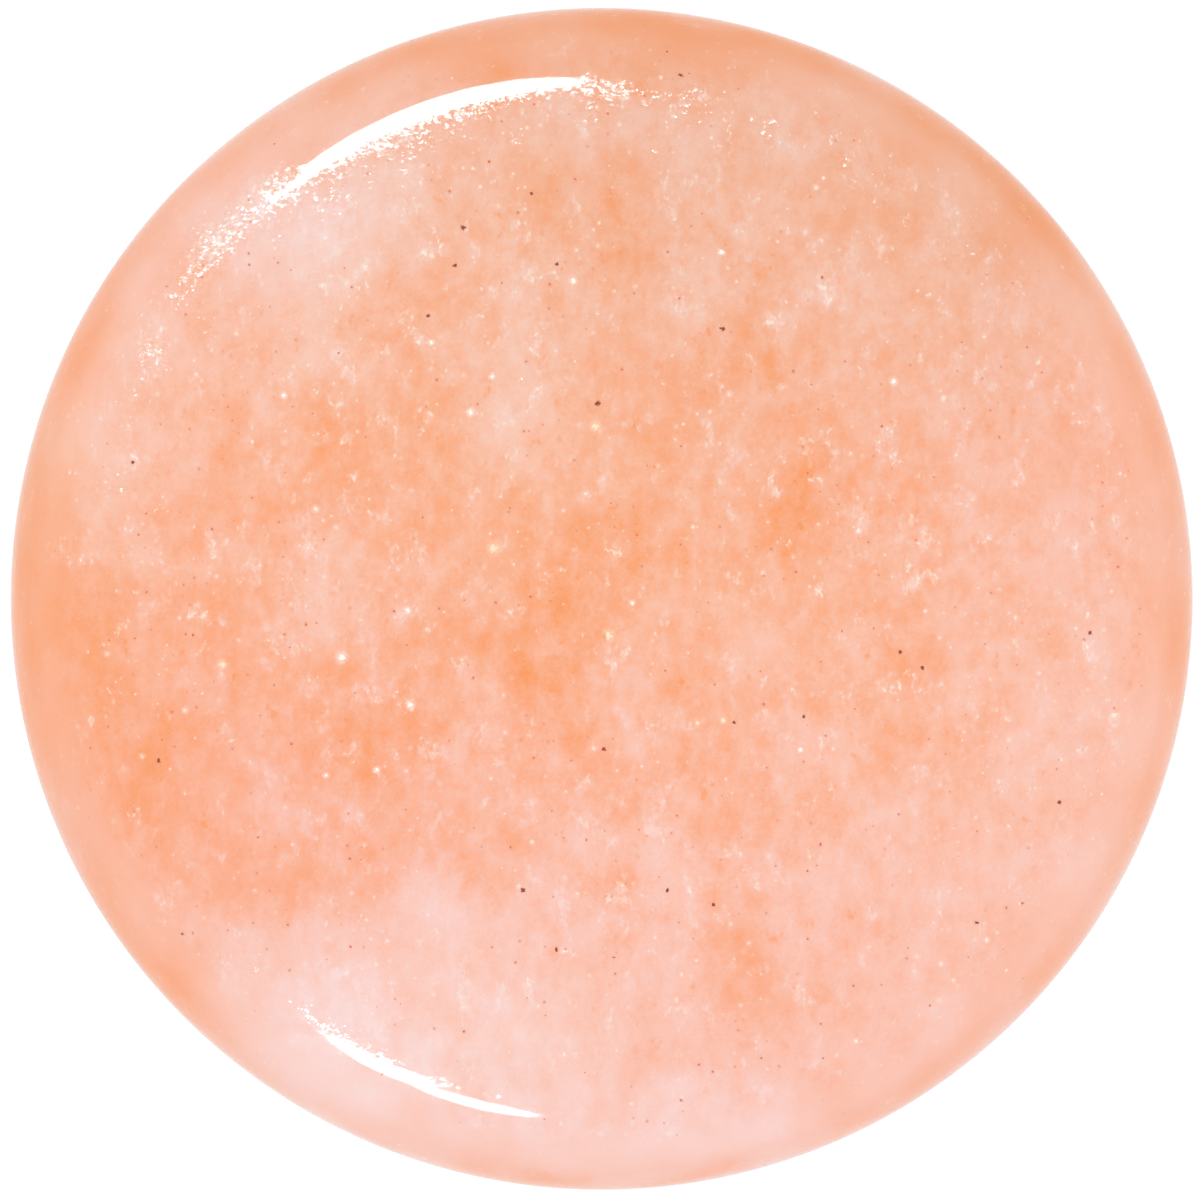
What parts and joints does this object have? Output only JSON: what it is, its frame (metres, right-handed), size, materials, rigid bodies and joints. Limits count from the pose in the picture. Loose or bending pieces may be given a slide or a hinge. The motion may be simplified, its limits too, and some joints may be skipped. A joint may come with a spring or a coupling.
{
  "type": "ear plug gauge",
  "caption": "Solid double-flared ear plug of polished peach stone: crowned round front face, waisted saddle for the stretched lobe, rounded flares, flat back.",
  "frame": {"origin": "centre of the flat back face, which the plug stands on", "axes": "+Z along the plug's axis, from the back face to the crowned front face; +Y is up in the picture, which looks straight down -Z"},
  "size_m": [0.0148, 0.0148, 0.012],
  "materials": {
    "peach_stone": "polished translucent peach aventurine, mottled orange and pale pink, with white crystal glints and fine dark red specks"
  },
  "bodies": {
    "root": {"plug": "peach_stone"}
  },
  "joints": []
}
